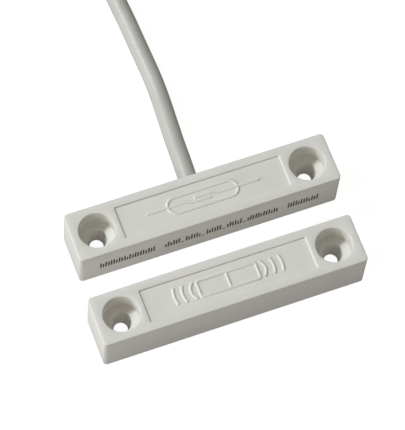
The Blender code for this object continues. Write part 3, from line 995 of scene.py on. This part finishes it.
def add_tie(word, degrees, with_tail, mat):
    """A flat tie drawn tight round the turns. It slants where the last turn is missing."""
    half = (COIL_COLUMNS - 1) * CABLE_RADIUS
    step = half - 2 * CABLE_RADIUS
    top_corner = [(half, half)] if with_tail else [(half, step), (step, half)]
    corners = [Vector(p) for p in [(half, -half), *top_corner, (-half, half), (-half, -half)]]
    outline = taut_outline(corners, CABLE_RADIUS + TIE_SLACK, 8)
    angle = math.radians(degrees)
    out = Vector((math.cos(angle), math.sin(angle), 0))
    along = Vector((-out.y, out.x, 0))
    middle = on_coil(COIL_MIDDLE_RADIUS, angle, COIL_LIFT + COIL_LAYERS * CABLE_RADIUS)
    section = ((-1, 0), (1, 0), (1, 0.8), (0.9, 1), (-0.9, 1), (-1, 0.8))
    bm = bmesh.new()
    rings = []
    for point, normal in outline:
        ring = []
        for aside, lift in section:
            flat = point + normal * lift * TIE_THICKNESS
            place = middle + out * flat.x + Vector((0, 0, flat.y)) + along * aside * TIE_WIDTH / 2
            ring.append(bm.verts.new(place))
        rings.append(ring)
    wall(bm, rings)
    bridge(bm, rings[-1], rings[0])
    bmesh.ops.recalc_face_normals(bm, faces=bm.faces)
    return add_piece("tie_" + word, bm, mat, "switch_unit", ["coil_tie_" + word])


# Floor and lights


def add_floor():
    bm = bmesh.new()
    bmesh.ops.create_grid(bm, x_segments=1, y_segments=1, size=2.0)
    mesh = bpy.data.meshes.new("floor")
    bm.to_mesh(mesh)
    bm.free()
    mesh.materials.append(studio_floor())
    floor = bpy.data.objects.new("floor", mesh)
    bpy.context.scene.collection.objects.link(floor)
    floor.location.z = -0.02 * MM


def add_light(name, azimuth, elevation, distance, size, power, colour=(1, 1, 1)):
    """A square softbox that faces the blocks."""
    data = bpy.data.lights.new(name, "AREA")
    data.shape = "SQUARE"
    data.size = size
    data.energy = power
    data.color = colour
    light = bpy.data.objects.new(name, data)
    bpy.context.scene.collection.objects.link(light)
    back = direction(math.radians(azimuth), math.radians(elevation))
    light.location = back * distance
    light.rotation_mode = "QUATERNION"
    light.rotation_quaternion = (-back).to_track_quat("-Z", "Y")


def add_world(strength):
    """A dim even surround that the camera itself sees as white."""
    world = bpy.data.worlds.new("studio")
    bpy.context.scene.world = world
    world.use_nodes = True
    tree = world.node_tree
    background = tree.nodes["Background"]
    background.inputs["Color"].default_value = (*FILL_COLOUR, 1)
    tree.links.new(camera_share(tree, strength, 1.2), background.inputs["Strength"])


def light_studio():
    add_world(0.24)
    add_light("key", -128, 46, 1.2, 0.15, 9.6, KEY_COLOUR)
    add_light("left_softbox", -72, 20, 0.6, 0.30, 1.25)
    bpy.context.scene.view_settings.view_transform = "Standard"


def finish_frame_nodes(mats, cores):
    """Gives each carried-over part of the frame its finish."""
    finishes = {
        "circuit_board": "glass_fibre_board",
        "bar_magnet": "ferrite",
        "reed_lead_left": "nickel_iron",
        "reed_lead_right": "nickel_iron",
        "reed_paddle_left": "nickel_iron",
        "reed_paddle_right": "nickel_iron",
        "solder_reed_left": "solder",
        "solder_reed_right": "solder",
        "tamper_link": "tinned_copper",
    }
    for colour in CORE_COLOURS:
        finishes["solder_" + colour] = "solder"
    for node, finish in finishes.items():
        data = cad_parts[node].data
        data.materials.clear()
        data.materials.append(mats[finish])
    for colour in CORE_COLOURS:
        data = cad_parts["core_" + colour].data
        data.materials.clear()
        data.materials.append(cores[colour])
        data.shade_smooth()


def main():
    add_camera()
    sheath = soft_sheath()
    copper = drawn_metal("tinned_copper", (0.62, 0.55, 0.50), (0.80, 0.74, 0.68), 0.18, 0.32)
    cores = {colour: core_plastic(colour) for colour in CORE_COLOURS}
    tie = tie_plastic()
    ties = [add_tie("near", 255, False, tie), add_tie("far", 75, True, tie)]
    add_cable(sheath, [*add_tail_cores(cores, copper), *ties])

    shell = moulded_plastic()
    add_housing("switch_shell", "switch_housing", SWITCH_AT, reed_sign, "switch_unit", shell, drilled=True)
    add_housing("magnet_shell", "magnet_housing", MAGNET_AT, magnet_sign, "magnet_unit", shell)
    batch_mark(ink())

    resin = sealing_resin()
    add_resin("switch_resin", "switch_potting", SWITCH_AT, "switch_unit", resin)
    add_resin("magnet_resin", "magnet_potting", MAGNET_AT, "magnet_unit", resin)
    solder = drawn_metal("solder", (0.56, 0.56, 0.58), (0.74, 0.74, 0.76), 0.14, 0.3, 1800)
    add_reed_glass(reed_glass())
    add_board_tracks(solder)
    add_core_ends(copper)
    mats = {
        "glass_fibre_board": glass_fibre_board(),
        "ferrite": sintered_magnet(),
        "nickel_iron": drawn_metal("nickel_iron", (0.50, 0.48, 0.44), (0.66, 0.64, 0.60), 0.2, 0.36),
        "solder": solder,
        "tinned_copper": copper,
    }
    finish_frame_nodes(mats, cores)

    add_floor()
    light_studio()


main()
